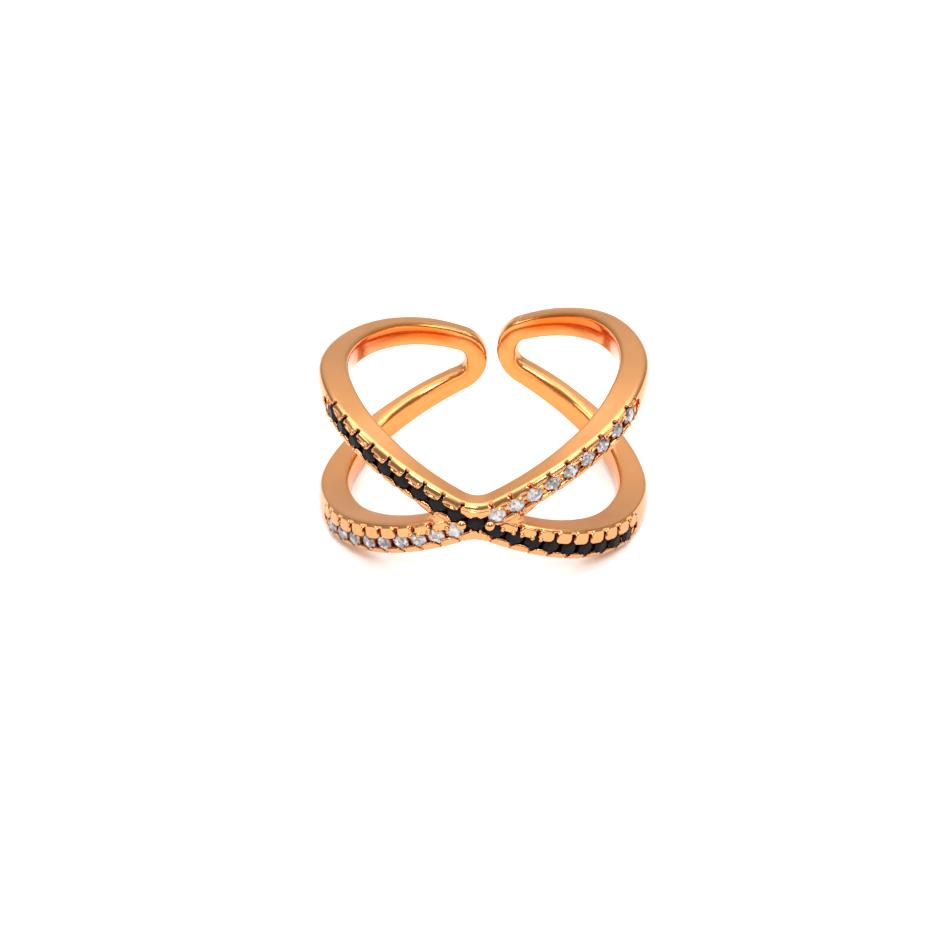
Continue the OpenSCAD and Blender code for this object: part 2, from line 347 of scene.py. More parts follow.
@dataclass(frozen=True)
class Seat:
    """One place on an arm's outer face, with axes along the strand, across it and straight out."""

    plan: RingPlan
    side: Side
    strand: Strand
    station: float
    shift: float = 0.0

    @property
    def lean(self) -> float:
        """Lean of the strand here, in radians."""
        return self.strand.value * math.atan(float(self.plan.arm_slope(np.array(self.station))))

    @property
    def centre(self) -> tuple[float, float, float]:
        """Place in the plan and height in space.

        Returns:
            The place's s, h and z.
        """
        lean = self.lean * self.strand.value
        s = self.station - math.sin(lean) * self.shift
        h = float(self.plan.arm_h(np.array(self.station))) + math.cos(lean) * self.shift
        s, h = self.side.value * s, self.strand.value * h
        return s, h, float(self.plan.height(np.array(s), np.array(h)))

    @property
    def face_r(self) -> float:
        """Radius of the outer face's middle here."""
        return float(self.plan.outer_r(self.station))

    @property
    def half(self) -> float:
        """Half the band's width here."""
        return float(self.plan.width(self.station)) / 2

    @property
    def is_upper(self) -> bool:
        """Whether the place is on an upper strand, as the crossing's is too."""
        return self.strand is Strand.UPPER

    def drop(self, across: Array | float) -> Array | float:
        """How far the crowned face lies below its middle, across from this place."""
        return self.plan.crown * np.minimum(1.0, np.abs(across + self.shift) / self.half) ** 2

    def rows_near(self, s: Array, z: Array, reach: float) -> Array:
        """Rows of points that lie within reach of this place."""
        centre_s, _, centre_z = self.centre
        return np.flatnonzero((np.abs(s - centre_s) < reach) & (np.abs(z - centre_z) < reach))


@dataclass(frozen=True)
class Spot:
    """Points near a place in its own axes: along the strand, outwards across it and up from its face."""

    place: Seat
    along: Array
    across: Array
    up: Array

    @classmethod
    def at(cls, place: Seat, s: Array, z: Array, r: Array) -> "Spot":
        """Takes points into a place's axes.

        Args:
            place: The place.
            s: Distance of the points along the plan.
            z: Their height in space.
            r: Their radius.

        Returns:
            The points in the place's axes.
        """
        centre_s, _, centre_z = place.centre
        turn = (s - centre_s) * place.side.value / place.plan.ref_r
        x = turn * r
        y = z - centre_z
        cos, sin = math.cos(place.lean), math.sin(place.lean)
        across = (y * cos - x * sin) * place.strand.value
        return cls(place, x * cos + y * sin, across, r * np.cos(turn) - place.face_r)


@dataclass(frozen=True)
class Pave:
    """Sizes of the cuts, grains and rims round the stones, in millimetres."""

    seat_gap: float = 0.035
    crown_h: float = 0.17
    girdle_h: float = 0.03
    pavilion_h: float = 0.47
    point_r: float = 0.12
    table_rise: float = 0.02
    table_share: float = 0.56
    seat_blend: float = 0.02
    rim_blend: float = 0.05
    first_room: float = 0.2
    tiles_from: float = 1.0
    tile_from: float = 0.33
    tile_to: float = 0.14
    tile_least: float = 0.24
    upper_to: float = 0.3
    shell_far: float = 0.7
    tile_gap: float = 0.2
    tile_rise: float = 0.055
    tile_sink: float = 0.2
    lens_rise: float = 0.03
    tile_corner: float = 0.34
    tile_round: float = 0.11
    notch_from: float = 0.2
    notch_to: float = 0.64
    notch_deep: float = 0.3
    notch_in: float = 0.03
    notch_blend: float = 0.04
    trough_long: float = 0.45
    trough_half: float = 0.26
    trough_bend: float = 0.12
    trough_depth: float = 0.34
    cut_from: float = 0.3
    cut_half: float = 0.07
    cut_depth: float = 0.36
    cut_foot_at: float = 0.86
    cut_foot_in: float = 0.13
    foot_r: float = 0.125
    cut_blend: float = 0.08
    dish_half: float = 0.42
    dish_wide: float = 0.13
    dish_deep: float = 0.12
    dish_at: float = 0.53
    beads_to: float = 3.6
    bead_r: float = 0.16
    grain_r: float = 0.11
    grain_along: float = 0.3
    grain_across: float = 0.42
    grain_rise: float = 0.045
    grain_blend: float = 0.04
    ball_r: float = 0.36
    ball_angle: float = 5.1
    ball_rise: float = -0.042
    end_r: float = 0.34
    plate_at: float = 0.83
    plate_half: float = 0.95
    plate_wide: float = 0.2
    plate_sink: float = 0.14
    plate_bend: float = 0.1
    plate_bow: float = 0.25

    def bore(self, rho: Array, w: Array, stone_r: float) -> Array:
        """Field of the seat under a stone: a cone, a wall round the girdle and a lip over the crown.

        Args:
            rho: Distance from the stone's axis.
            w: Height above the face.
            stone_r: Radius of the stone.

        Returns:
            The field, negative where the metal is cut away.
        """
        seat_r = stone_r + self.seat_gap
        girdle_z = self.table_rise - self.crown_h
        floor = girdle_z - self.girdle_h - self.seat_gap
        width, depth = seat_r - self.point_r, self.pavilion_h
        cone = ((rho - self.point_r) * depth - (w - floor + depth) * width) / math.hypot(width, depth)
        table_r = stone_r * self.table_share + self.seat_gap
        low = girdle_z + self.seat_gap / 2
        high = self.table_rise + self.seat_gap
        inwards, climb = seat_r - table_r, high - low
        lip = ((rho - seat_r) * climb + (w - low) * inwards) / math.hypot(inwards, climb)
        top = np.minimum(lip, rho - table_r)
        return np.maximum(np.maximum(np.maximum(cone, rho - seat_r), top), floor - depth - w)

    def side_cut(self, along: Array, across: Array, w: Array, foot_at: float) -> Array:
        """Field of the cut that runs from a seat to a round foot near one edge.

        Args:
            along: Distance along the strand.
            across: Distance towards the edge.
            w: Height above the face.
            foot_at: Place of the foot's middle across the strand.

        Returns:
            The field, negative inside the cut.
        """
        neck = np.maximum(np.abs(along) - self.cut_half, across - foot_at)
        foot = np.hypot(along, across - foot_at) - self.foot_r
        return np.maximum(np.maximum(np.minimum(neck, foot), self.cut_from - across), -self.cut_depth - w)

    def footprint(self, along: Array, across: Array, half: float, far: float) -> Array:
        """Field of a tile's outline, seen straight from outside.

        Args:
            along: Distance along the strand from the tile's middle.
            across: Distance from the row towards the edge.
            half: Half the tile's length.
            far: Distance from the row to the tile's far side.

        Returns:
            The field, negative inside the outline.
        """
        last = max(far, self.tile_from + self.tile_least)
        middle, wide = (self.tile_from + last) / 2, (last - self.tile_from) / 2
        return rounded(along, half, across - middle, wide, min(self.tile_corner, wide))

    def trough(self, along: Array, across: Array) -> Array:
        """Field of a trough's outline, seen straight from outside."""
        return rounded(along, self.trough_long, across, self.trough_half, self.trough_bend)

    def plate(self, along: Array, across: Array, w: Array) -> Array:
        """Field of the bowed plate above the crossing's stone.

        Args:
            along: Distance along the plate from the stone.
            across: Distance from the stone towards the plate.
            w: Height above the face.

        Returns:
            The field, negative inside the plate.
        """
        bend = self.plate_bend
        x = past_core(along, self.plate_half, bend)
        off = across - self.plate_at - self.plate_bow * (along / self.plate_half) ** 2
        y = past_core(off, self.plate_wide, bend)
        return distance(x, y, past_core(w + self.plate_sink, self.plate_wide, bend)) - bend


@dataclass
class Band:
    """The cast band with its seats, cuts and grains, made as one closed mesh from a distance field.

    Sizes are in millimetres. A ramp named in or out runs along the plan, away from the crossing.
    """

    plan: RingPlan = field(default_factory=RingPlan)
    pave: Pave = field(default_factory=Pave)
    outer_edge_r: float = 0.2
    roll_edge_r: float = 0.32
    soft_edge_r: float = 0.62
    soft_edge_right_r: float = 0.8
    inner_edge_r: float = 0.22
    lip_edge_r: float = 0.34
    lip_blend: float = 1.2
    inner_crown: float = 0.17
    far_crown: float = 0.35
    inner_flare: float = 3.0
    share_limit: float = 1.2
    left_reach: float = 0.17
    left_growth: float = 0.1
    skin: float = 0.022
    tip_skin: float = 0.03
    crossing_blend: float = 0.85
    edge_blend: float = 0.02
    face_blend: float = 0.06
    reach_in: Ramp = Ramp(15.0, 9.0)
    growth_in: Ramp = Ramp(20.0, 5.0)
    tip_in: Ramp = Ramp(24.0, 3.0)
    crown_in: Ramp = Ramp(12.0, 4.0)
    crossing_out: Ramp = Ramp(4.0, 4.0)
    under_high: Ramp = Ramp(0.3, 0.8)
    under_out: Ramp = Ramp(15.5, -1.8)
    over_wide: Ramp = Ramp(0.0, 0.5)
    over_out: Ramp = Ramp(26.0, -4.0)
    lip_in: Ramp = Ramp(11.0, 4.0)
    lip_out: Ramp = Ramp(27.0, -3.0)
    cavity_from: float = 0.05
    cavity_run: float = 0.2
    flank_run: float = 0.2
    dark_left: float = 1.2
    dark_right: float = 0.7
    dark_run: float = 0.15
    dark_past: float = 0.65
    dark_end_run: float = 0.1
    inside_from: float = 0.5
    inside_run: float = 0.3
    # A painted reflection strip on the upper part of the back loops' inner wall: its sizes and ramps
    painted_reflection_from: float = 0.3
    painted_reflection_run: float = 0.2
    painted_reflection_above: Ramp = Ramp(-0.5, 0.5)
    painted_reflection_below: Ramp = Ramp(0.78, -0.2)
    painted_reflection_in: Ramp = Ramp(13.0, 2.0)
    painted_reflection_out: Ramp = Ramp(27.5, -2.0)
    fine: float = 0.05
    coarse: float = 0.15
    end_step: float = 0.12
    past_rows: float = 0.6
    past_tip: float = 0.3
    tip_run: float = 4.0
    past_top: float = 1.4
    layers: tuple = ((-0.14, 0.3, 0.07), (0.35, 0.8, 0.15), (0.85, 2.3, 0.0475))
    change_reach: float = 1.45
    settle_rounds: int = 2
    settle_step: float = 0.004
    least_slope: float = 0.25
    normal_step: float = 0.012
    triangles: int = 190000
    name: str = "ring_band"
    seats: list[Seat] = field(default_factory=list)

    def __post_init__(self) -> None:
        """Places every stone, waist and end cut."""
        plan = self.plan
        self.centre = Seat(plan, Side.RIGHT, Strand.UPPER, 0.0)
        self.waists: list[Seat] = []
        self.last_tiles: list[Seat] = []
        self.ends: list[Seat] = []
        for (side, strand), share in SHIFT_SHARES.items():
            is_black = side.value * strand.value < 0
            first = plan.pitch if is_black else plan.first_pitch
            places = [plan.row_s(k, first) for k in range(plan.row_stones + 1)]
            places.append(places[-1] + plan.pitch * plan.end_cut_step)
            shifts = [plan.row_shift * share * float(ease(s / plan.shift_run)) for s in places]
            found = [Seat(plan, side, strand, s, shift) for s, shift in zip(places, shifts)]
            middles = [Seat(plan, side, strand, (a.station + b.station) / 2, (a.shift + b.shift) / 2)
                       for a, b in zip(found, found[1:])]
            self.seats += found[1:-1]
            self.ends.append(found[-1])
            self.waists += middles[:-1]
            self.last_tiles.append(middles[-1])
        self.seats.insert(0, self.centre)

    def blank(self, s: Array, h: Array, r: Array) -> tuple[Array, Array, Array]:
        """Field of the band before it is cut.

        Args:
            s: Distance along the plan, one column.
            h: Height in the plan, one column.
            r: Radius, one row or one column.

        Returns:
            The band's field, the plan's own field, which is zero on the flanks, and the distance from
            the middle of the black row's arm.
        """
        plan = self.plan
        a = np.abs(s) - self.left_reach * (self.reach_in.at(np.abs(s)) * (s < 0))
        rising = plan.nearest(a, h)
        falling = plan.nearest(a, -h)
        edges, faces, inners = [], [], []
        for (gap, offset, foot), up in ((rising, 1), (falling, -1)):
            half = (plan.width(foot) + self.left_growth * self.growth_in.at(a) * (s < 0)) / 2
            edges.append(gap - half)
            share = np.minimum(np.abs(offset) / half, self.share_limit)
            face = plan.outer_r(np.abs(foot)) - self.skin - self.tip_skin * self.tip_in.at(a)
            faces.append(face - plan.crown * share**2)
            dome = self.inner_crown * np.where(offset * up > 0, 1.0, self.far_crown) * share**2
            flare = self.inner_flare * np.maximum(share - 1.0, 0.0)
            inners.append(plan.inner_r + (dome + flare) * self.crown_in.at(a))
        blend = self.edge_blend + (self.crossing_blend - self.edge_blend) * (1 - self.crossing_out.at(a))
        flank = join_soft(edges[0], edges[1], blend)
        face_r = -join_soft(-faces[0], -faces[1], self.face_blend)
        inner_r = join_soft(inners[0], inners[1], self.face_blend)
        is_under = self.under_high.at(h) * self.under_out.at(a) * (rising[1] < 0)
        is_over = self.over_wide.at(rising[1]) * (h > 0) * self.over_out.at(a)
        soft = np.where(s > 0, self.soft_edge_right_r, self.soft_edge_r)
        edge_r = self.outer_edge_r + (soft - self.outer_edge_r) * is_under
        edge_r = edge_r + (self.roll_edge_r - self.outer_edge_r) * is_over
        outer = meet_round(flank, r - face_r, edge_r)
        towards_top = np.where(h > 0, rising[1], -falling[1])
        is_lip = ease(0.5 + towards_top / self.lip_blend) * self.lip_in.at(a) * self.lip_out.at(a)
        inner_edge_r = self.inner_edge_r + (self.lip_edge_r - self.inner_edge_r) * is_lip
        near_black = np.where(s > 0, falling[0], rising[0])
        return meet_round(outer, inner_r - r, inner_edge_r), flank, near_black

    def value(self, s: Array, h: Array, r: Array) -> Array:
        """Field of the finished band: blank, less its cuts, with its grains.

        Args:
            s: Distance along the plan, one column.
            h: Height in the plan, one column.
            r: Radius, one row or one column.

        Returns:
            The field, negative inside the metal.
        """
        solid, _, _ = self.blank(s, h, r)
        flat_s, flat_z = s[:, 0], self.plan.height(s[:, 0], h[:, 0])
        steps = (
            (self._raise_tile, self.waists + self.last_tiles),
            (self._cut_trough, self.waists),
            (self._cut_seat, self.seats),
            (self._cut_sides, self.seats[1:] + self.ends),
            (self._add_grains, self.seats),
            (self._free_stone, self.seats),
        )
        for change, places in steps:
            for place in places:
                near = place.rows_near(flat_s, flat_z, self.change_reach)
                if len(near):
                    ring = r if r.shape[0] == 1 else r[near]
                    solid[near] = change(solid[near], Spot.at(place, s[near], flat_z[near, None], ring))
        return solid

    def _is_first(self, place: Seat) -> bool:
        """Whether a place lies next to the crossing."""
        return place.station < self.plan.first_pitch + self.pave.first_room

    def _bore(self, spot: Spot) -> Array:
        """Field of the seat of the stone at a spot."""
        return self.pave.bore(np.hypot(spot.along, spot.across), spot.up, self.plan.stone_d / 2)

    def _raise_tile(self, solid: Array, spot: Spot) -> Array:
        """Shapes the tiles beside the row; those above it on the upper strands are hollowed to a lens.

        Args:
            solid: The band's field there.
            spot: Points between two stones.

        Returns:
            The field with the tiles.
        """
        pave, place, along = self.pave, spot.place, spot.along
        length = self.plan.pitch * (self.plan.end_cut_step if place in self.last_tiles else 1.0)
        level = spot.up + place.drop(spot.across)
        for out in (1, -1):
            if place.station < pave.tiles_from and (out < 0 or place.is_upper):
                continue
            across = spot.across * out
            is_lens = place.is_upper and out > 0
            far = place.half - out * place.shift - (pave.upper_to if place.is_upper else pave.tile_to)
            if place.is_upper and not is_lens:
                far = min(far, pave.shell_far)
            shape = pave.footprint(along, across, (length - pave.tile_gap) / 2, far)
            notch = np.maximum(np.abs(along) - length / 2, across - pave.notch_to)
            notch = np.maximum(notch, pave.notch_in - shape)
            notch = np.maximum(notch, np.maximum(pave.notch_from - across, -pave.notch_deep - level))
            solid = cut_soft(solid, notch, pave.notch_blend)
            rise = pave.lens_rise if is_lens else pave.tile_rise
            slab = np.abs(level - rise + pave.tile_sink) - pave.tile_sink
            solid = join_soft(solid, meet_round(shape, slab, pave.tile_round), pave.rim_blend)
            if is_lens:
                x = along / (pave.dish_half * length / self.plan.pitch)
                y = (across - pave.dish_at) / pave.dish_wide
                dish = distance(x, y, (level - rise) / pave.dish_deep) - 1.0
                solid = cut_soft(solid, dish * pave.dish_deep, pave.rim_blend)
        return solid

    def _cut_trough(self, solid: Array, spot: Spot) -> Array:
        """Sinks the metal between two stones."""
        trough = self.pave.trough(spot.along, spot.across)
        return cut_soft(solid, np.maximum(trough, -self.pave.trough_depth - spot.up), self.pave.rim_blend)

    def _cut_seat(self, solid: Array, spot: Spot) -> Array:
        """Bores the seat of a stone."""
        return cut_soft(solid, self._bore(spot), self.pave.seat_blend)

    def _cut_sides(self, solid: Array, spot: Spot) -> Array:
        """Saws the cuts from a seat towards the band's edges, and drills the place where a row ends.

        Args:
            solid: The band's field there.
            spot: Points near a stone or a row's end.

        Returns:
            The field with the cuts; the ends of the upper rows have the drilled place alone.
        """
        pave, place = self.pave, spot.place
        is_end = place in self.ends
        if is_end:
            drill = np.maximum(np.hypot(spot.along, spot.across) - pave.end_r, -pave.cut_depth - spot.up)
            solid = cut_soft(solid, drill, pave.cut_blend)
        if is_end and place.is_upper:
            return solid
        for out in (1,) if self._is_first(place) else (1, -1):
            edge = place.half - out * place.shift
            foot_at = min(pave.cut_foot_at, edge - pave.cut_foot_in)
            cut = pave.side_cut(spot.along, spot.across * out, spot.up, foot_at)
            solid = cut_soft(solid, cut, pave.cut_blend)
        return solid

    def _add_grains(self, solid: Array, spot: Spot) -> Array:
        """Raises the grains that hold a stone, and the plate and the two balls beside the crossing's.

        Args:
            solid: The band's field there.
            spot: Points near a stone.

        Returns:
            The field with the grains.
        """
        pave, place, along, across = self.pave, spot.place, spot.along, spot.across
        is_centre = place is self.centre
        if is_centre:
            cos, sin = math.cos(place.lean), math.sin(place.lean)
            along, across = along * cos - across * sin, along * sin + across * cos
            reach = math.sin(math.radians(pave.ball_angle)) * place.face_r
            solid = join_soft(solid, pave.plate(along, across, spot.up), pave.rim_blend)
            for way in (1, -1):
                ball = distance(along - way * reach, across, spot.up - pave.ball_rise) - pave.ball_r
                solid = join_soft(solid, ball, pave.grain_blend)
        lower = (1, -1) if place.station <= pave.beads_to else (1,)
        for out in (-1,) if place.is_upper else lower:
            radius = pave.bead_r if out < 0 and not place.is_upper else pave.grain_r
            level = spot.up - pave.grain_rise + place.drop(out * pave.grain_across)
            for way in (1, -1):
                if self._is_first(place) and not is_centre and out < 0 and way < 0:
                    continue
                x, y = along - way * pave.grain_along, across - out * pave.grain_across
                solid = join_soft(solid, distance(x, y, level) - radius, pave.grain_blend)
        return solid

    def _free_stone(self, solid: Array, spot: Spot) -> Array:
        """Keeps the metal off the stone itself."""
        return np.maximum(solid, -self._bore(spot))

    def _axes(self) -> list[Array]:
        """Grid lines, close together where the stones are.

        Returns:
            The lines along s, h and r.
        """
        plan = self.plan
        rows_to = max(end.station for end in self.ends) + self.past_rows
        tip = plan.turn_s + plan.turn_r + plan.end_w / 2 + self.past_tip
        tip_from = tip - self.tip_run
        half = np.concatenate([
            np.linspace(0.0, rows_to, round(rows_to / self.fine), endpoint=False),
            np.linspace(rows_to, tip_from, round((tip_from - rows_to) / self.coarse), endpoint=False),
            np.arange(tip_from, tip + self.end_step, self.end_step),
        ])
        top = plan.rise + self.past_top
        radii = [np.arange(plan.inner_r + low, plan.inner_r + high, step) for low, high, step in self.layers]
        heights = np.arange(-top, top, self.fine) + self.fine / 3
        return [np.concatenate([-half[:0:-1], half]), heights, np.concatenate(radii)]

    def build(self) -> Object:
        """Builds the band's mesh.

        Returns:
            The band, in the ring's frame and in metres.
        """
        axes = self._axes()
        s, h = (g.reshape(-1, 1) for g in np.meshgrid(axes[0], axes[1], indexing="ij"))
        values = self.value(s, h, axes[2][None, :]).reshape([len(a) for a in axes])
        points, quads = surface_net(without_specks(values), axes)
        points = self._settle(points)
        full = bpy.data.meshes.new("band_full")
        full.from_pydata((self.plan.place(*points.T) * MM).tolist(), [], quads.tolist())
        full.validate()
        mesh = self._thin_out(full)
        xyz = np.empty(3 * len(mesh.vertices), np.float32)
        mesh.vertices.foreach_get("co", xyz)
        points = self.plan.unplace(xyz.reshape(-1, 3).astype(float) / MM)
        for zone, level in self._levels(points).items():
            layer = mesh.attributes.new(zone.value, "FLOAT", "POINT")
            layer.data.foreach_set("value", np.clip(level, 0.0, 1.0).astype(np.float32))
        mesh.shade_smooth()
        mesh.normals_split_custom_set_from_vertices(self._normals(points).tolist())
        band = bpy.data.objects.new(self.name, mesh)
        bpy.context.scene.collection.objects.link(band)
        log.info("%s: %d points, %d faces", self.name, len(points), len(mesh.polygons))
        return band

    def _levels(self, points: Array) -> dict[Zone, Array]:
        """What the mesh tells its material.

        Args:
            points: Points in the plan, s, h and r.

        Returns:
            A level for each zone, to be cut off below 0 and above 1.
        """
        blank, flank, near_black = (part[:, 0] for part in self.blank(*np.hsplit(points, 3)))
        s, high, radius = points.T
        run, inner_r = np.abs(s), self.plan.inner_r
        above = high - self.plan.arm_h(run)
        row_end = max(seat.station for seat in self.seats) + self.dark_past
        # Near the black row the painted shade of the cuts turns near black
        dark_half = np.where(s > 0, self.dark_right, self.dark_left)
        dark = np.minimum((dark_half - near_black) / self.dark_run, (row_end - run) / self.dark_end_run)
        # Painted reflection: a deep orange strip on the upper part of the back loops' inner wall, in place of its
        # reflection of the ring's front inner faces
        glow = ease((inner_r + self.painted_reflection_from - radius) / self.painted_reflection_run) * self.painted_reflection_above.at(above)
        glow = glow * self.painted_reflection_below.at(above) * self.painted_reflection_in.at(run) * self.painted_reflection_out.at(run) * (high > 0)
        return {
            # Deeper in the cuts and troughs the colour turns to their painted light
            Zone.CAVITY: (-blank - self.cavity_from) / self.cavity_run,
            Zone.FLANK: 1 + flank / self.flank_run,
            Zone.DARK_ROW: dark,
            Zone.INSIDE: (inner_r + self.inside_from - radius) / self.inside_run,
            Zone.GLOW: glow,
        }

    def _thin_out(self, full: Mesh) -> Mesh:
        """Merges triangles where the surface is nearly flat.

        Args:
            full: The band's full mesh.

        Returns:
            The lighter mesh.
        """
        holder = bpy.data.objects.new("band_full", full)
        bpy.context.scene.collection.objects.link(holder)
        holder.modifiers.new("fewer", "DECIMATE").ratio = self.triangles / (2 * len(full.polygons))
        light = bpy.data.meshes.new_from_object(holder.evaluated_get(bpy.context.evaluated_depsgraph_get()))
        bpy.data.objects.remove(holder)
        light.name = self.name
        return light

    def _slope(self, points: Array, step: float) -> Array:
        """Slope of the band's field.

        Args:
            points: Points in the plan, s, h and r.
            step: How far from each point the field is read.

        Returns:
            The slope along s, h and r at each point.
        """
        slope = np.empty_like(points)
        for axis, move in enumerate(np.eye(3) * step):
            after, before = (self.value(*np.hsplit(points + way * move, 3))[:, 0] for way in (1, -1))
            slope[:, axis] = (after - before) / (2 * step)
        return slope

    def _normals(self, points: Array) -> Array:
        """Outward directions in space at points of the plan.

        Args:
            points: Points in the plan, s, h and r.

        Returns:
            The unit directions, which follow the field and not the triangles.
        """
        step, height = self.normal_step, self.plan.height
        slope_s, slope_h, slope_r = self._slope(points, step).T
        s, h, r = points.T
        rise_s = (height(s + step, h) - height(s - step, h)) / (2 * step)
        rise_h = (height(s, h + step) - height(s, h - step)) / (2 * step)
        angle = s / self.plan.ref_r
        around = (slope_s - slope_h * rise_s / rise_h) * self.plan.ref_r / r
        normal = np.stack([
            around * np.cos(angle) + slope_r * np.sin(angle),
            around * np.sin(angle) - slope_r * np.cos(angle),
            slope_h / rise_h,
        ], axis=1)
        return normal / np.maximum(np.linalg.norm(normal, axis=1, keepdims=True), TINY)

    def _settle(self, points: Array) -> Array:
        """Moves the mesh's points onto the field's surface.

        Args:
            points: Points in the plan, s, h and r.

        Returns:
            The settled points.
        """
        limit = self.fine / 2
        for _ in range(self.settle_rounds):
            start = self.value(*np.hsplit(points, 3))[:, 0]
            slope = self._slope(points, self.settle_step)
            size = np.maximum((slope**2).sum(axis=1), self.least_slope)
            points = points - np.clip(start / size, -limit, limit)[:, None] * slope
        return points

    def dress(self, band: Object, material: Material) -> None:
        """Gives the band its metal and its place in the frame.

        Args:
            band: The built band.
            material: The metal.
        """
        band.data.materials.append(material)
        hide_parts("band")
        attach(band, "root")


def without_specks(values: Array, rounds: int = 3, least: int = 2, limit: float = 0.1) -> Array:
    """Clears grid points that stand alone in the metal or out of it.

    Args:
        values: A field on a grid.
        rounds: How often the grid is gone over.
        least: Neighbours of its own sign that a point needs to stay.
        limit: Size of the field above which a point stays.

    Returns:
        The field, with the sign turned at the points that stand alone.
    """
    for _ in range(rounds):
        inside = values < 0
        alike = np.zeros(values.shape, np.int8)
        for axis in range(3):
            same = np.swapaxes(inside, 0, axis)
            count = np.swapaxes(alike, 0, axis)
            match = same[1:] == same[:-1]
            count[1:] += match
            count[:-1] += match
        values = np.where((alike < least) & (np.abs(values) < limit), -values, values)
    return values


def surface_net(values: Array, axes: list[Array]) -> tuple[Array, Array]:
    """Closed mesh of a field's zero surface on a grid.

    Args:
        values: The field at each grid point.
        axes: Grid lines along each axis.

    Returns:
        The mesh's points and its quads, which face outwards.
    """
    inside = values < 0
    cells = np.array(values.shape) - 1
    stride = np.array([cells[1] * cells[2], cells[2], 1])
    owners, crossings, faces = [], [], []
    for axis in range(3):
        low = np.moveaxis(inside, axis, 0)[:-1]
        high = np.moveaxis(inside, axis, 0)[1:]
        found = np.argwhere(np.moveaxis(low != high, 0, axis))
        after = found.copy()
        after[:, axis] += 1
        first, second = values[tuple(found.T)], values[tuple(after.T)]
        share = first / (first - second)
        point = np.stack([axes[d][found[:, d]] for d in range(3)], axis=1)
        point[:, axis] += share * (axes[axis][after[:, axis]] - axes[axis][found[:, axis]])
        b, c = (axis + 1) % 3, (axis + 2) % 3
        corners = []
        for step_b, step_c in ((0, 0), (-1, 0), (-1, -1), (0, -1)):
            cell = found.copy()
            cell[:, b] += step_b
            cell[:, c] += step_c
            corners.append(cell @ stride)
            owners.append(corners[-1])
            crossings.append(point)
        quad = np.stack(corners, axis=1)
        outwards = first < 0
        faces.append(np.where(outwards[:, None], quad, quad[:, ::-1]))
    owner, group = np.unique(np.concatenate(owners), return_inverse=True)
    crossing = np.concatenate(crossings)
    count = np.bincount(group)
    points = np.stack([np.bincount(group, weights=crossing[:, d]) / count for d in range(3)], axis=1)
    return points, np.searchsorted(owner, np.concatenate(faces))


class Sheet:
    """A node tree that is filled node by node."""

    def __init__(self, tree: NodeTree) -> None:
        """Takes the tree to fill."""
        self.tree = tree

    def feed(self, target: Socket, value: object) -> None:
        """Fills an input.

        Args:
            target: The input.
            value: A socket to link it to, a colour of three parts, or a number.
        """
        if isinstance(value, Socket):
            self.tree.links.new(value, target)
        else:
            target.default_value = (*value, 1) if isinstance(value, tuple) else value

    def fill(self, node: Node, **settings: object) -> Node:
        """Sets a node's properties and inputs.

        Args:
            node: The node.
            settings: Values by name, where _ may stand for a space.

        Returns:
            The node.
        """
        for key, value in settings.items():
            if hasattr(node, key):
                setattr(node, key, value)
            else:
                self.feed(node.inputs[key.replace("_", " ")], value)
        return node

    def add(self, kind: str, **settings: object) -> Node:
        """Adds a node with its properties and inputs."""
        return self.fill(self.tree.nodes.new(kind), **settings)

    def blend(self, share: Socket, low: object, high: object) -> Socket:
        """Blends two colours.

        Args:
            share: Share of the second colour, from 0 to 1.
            low: First colour, as a tuple or a socket.
            high: Second colour, as a tuple or a socket.

        Returns:
            The blend.
        """
        node = self.add("ShaderNodeMix", data_type="RGBA", Factor=share)
        self.feed(node.inputs[6], low)
        self.feed(node.inputs[7], high)
        return node.outputs[2]

    def remap(self, value: Socket, ends: tuple, source: tuple = (0.0, 1.0)) -> Socket:
        """Spreads a value from its source's range over the range between two ends."""
        spans = {"From_Min": source[0], "From_Max": source[1], "To_Min": ends[0], "To_Max": ends[1]}
        return self.add("ShaderNodeMapRange", Value=value, **spans).outputs["Result"]

    def math(self, operation: str, *values: object) -> Socket:
        """Works out a sum.

        Args:
            operation: The sum's name.
            values: Numbers or sockets.

        Returns:
            The result.
        """
        node = self.add("ShaderNodeMath", operation=operation)
        for target, value in zip(node.inputs, values):
            self.feed(target, value)
        return node.outputs[0]


@dataclass(frozen=True)
class SurfaceLife:
    """A surface's fine life: clouds and a fine grain."""

    scales: tuple = (("Grain", 4000.0), ("Cloud", 250.0))
    noises: tuple = (("Cloud", 3.0, 0.5), ("Grain", 4.0, 0.65))
    cloud_share: float = 0.65
    grain_share: float = 0.35

    def make(self) -> NodeTree:
        """Builds the node group.

        Returns:
            The group, with inputs Grain and Cloud and outputs Tone, Polish and Relief.
        """
        group = bpy.data.node_groups.new("surface_life", "ShaderNodeTree")
        face = group.interface
        for name, start in self.scales:
            face.new_socket(name, in_out="INPUT", socket_type="NodeSocketFloat").default_value = start
        for name in ("Tone", "Polish", "Relief"):
            face.new_socket(name, in_out="OUTPUT", socket_type="NodeSocketFloat")
        sheet = Sheet(group)
        entry = sheet.add("NodeGroupInput").outputs
        where = sheet.add("ShaderNodeTexCoord").outputs["Object"]
        cloud, grain = (
            sheet.add("ShaderNodeTexNoise", Vector=where, Scale=entry[size], Detail=detail, Roughness=rough).outputs[0]
            for size, detail, rough in self.noises
        )
        clouds = sheet.math("MULTIPLY", cloud, self.cloud_share)
        mixed = sheet.math("ADD", clouds, sheet.math("MULTIPLY", grain, self.grain_share))
        sheet.add("NodeGroupOutput", Tone=cloud, Polish=mixed, Relief=grain)
        return group


